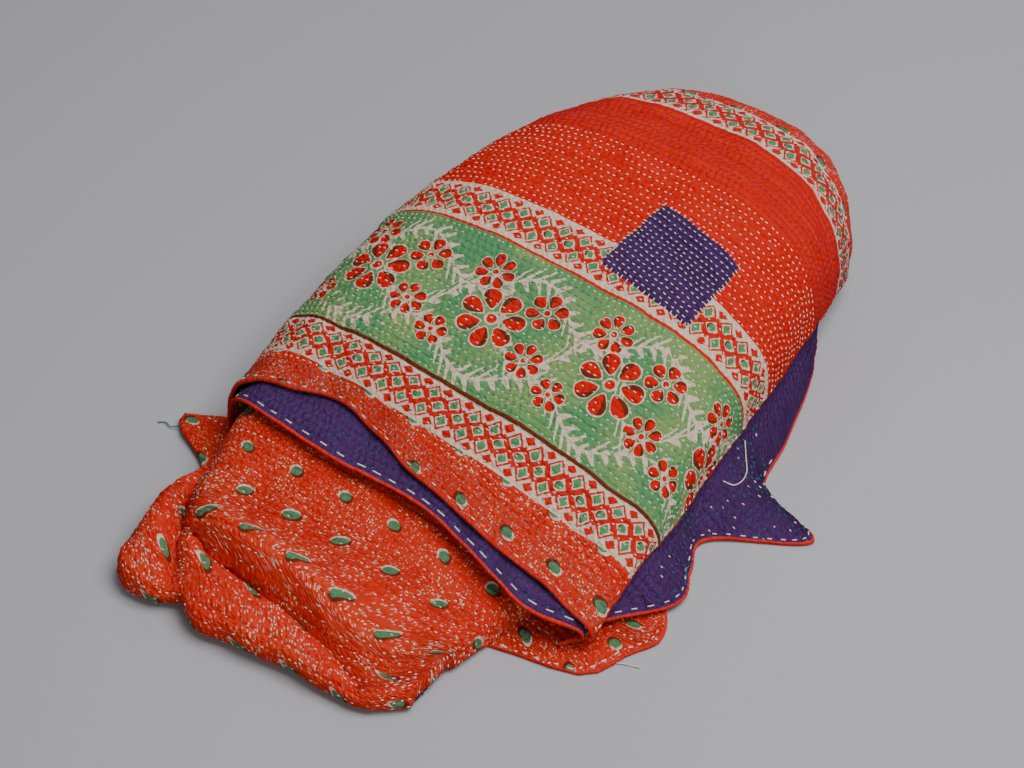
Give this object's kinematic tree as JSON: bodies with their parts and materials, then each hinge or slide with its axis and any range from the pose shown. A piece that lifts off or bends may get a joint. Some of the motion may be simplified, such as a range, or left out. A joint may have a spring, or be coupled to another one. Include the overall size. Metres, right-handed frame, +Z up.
{
  "type": "folded kantha quilt",
  "caption": "Hand-quilted cotton quilt, printed face and plain backing, doubled and folded back and forth into a soft loaf with a patch sewn on top.",
  "frame": {"origin": "centre of the folded quilt's bounding box in plan, on the surface it rests on", "axes": "+Z up, +Y from the tongue at the front back along the loaf, +X to the right, towards the loose flaps"},
  "size_m": [0.4743, 0.6405, 0.1291],
  "materials": {
    "printed_cotton": "matte woven cotton, block-print style bands and flowers, quilted with running stitches",
    "plain_cotton": "matte woven purple cotton, puckered by running stitches",
    "patch_cotton": "matte woven purple cotton, white running stitches"
  },
  "bodies": {
    "root": {"face_cloth": "printed_cotton", "backing_cloth": "plain_cotton", "patch": "patch_cotton"}
  },
  "joints": []
}
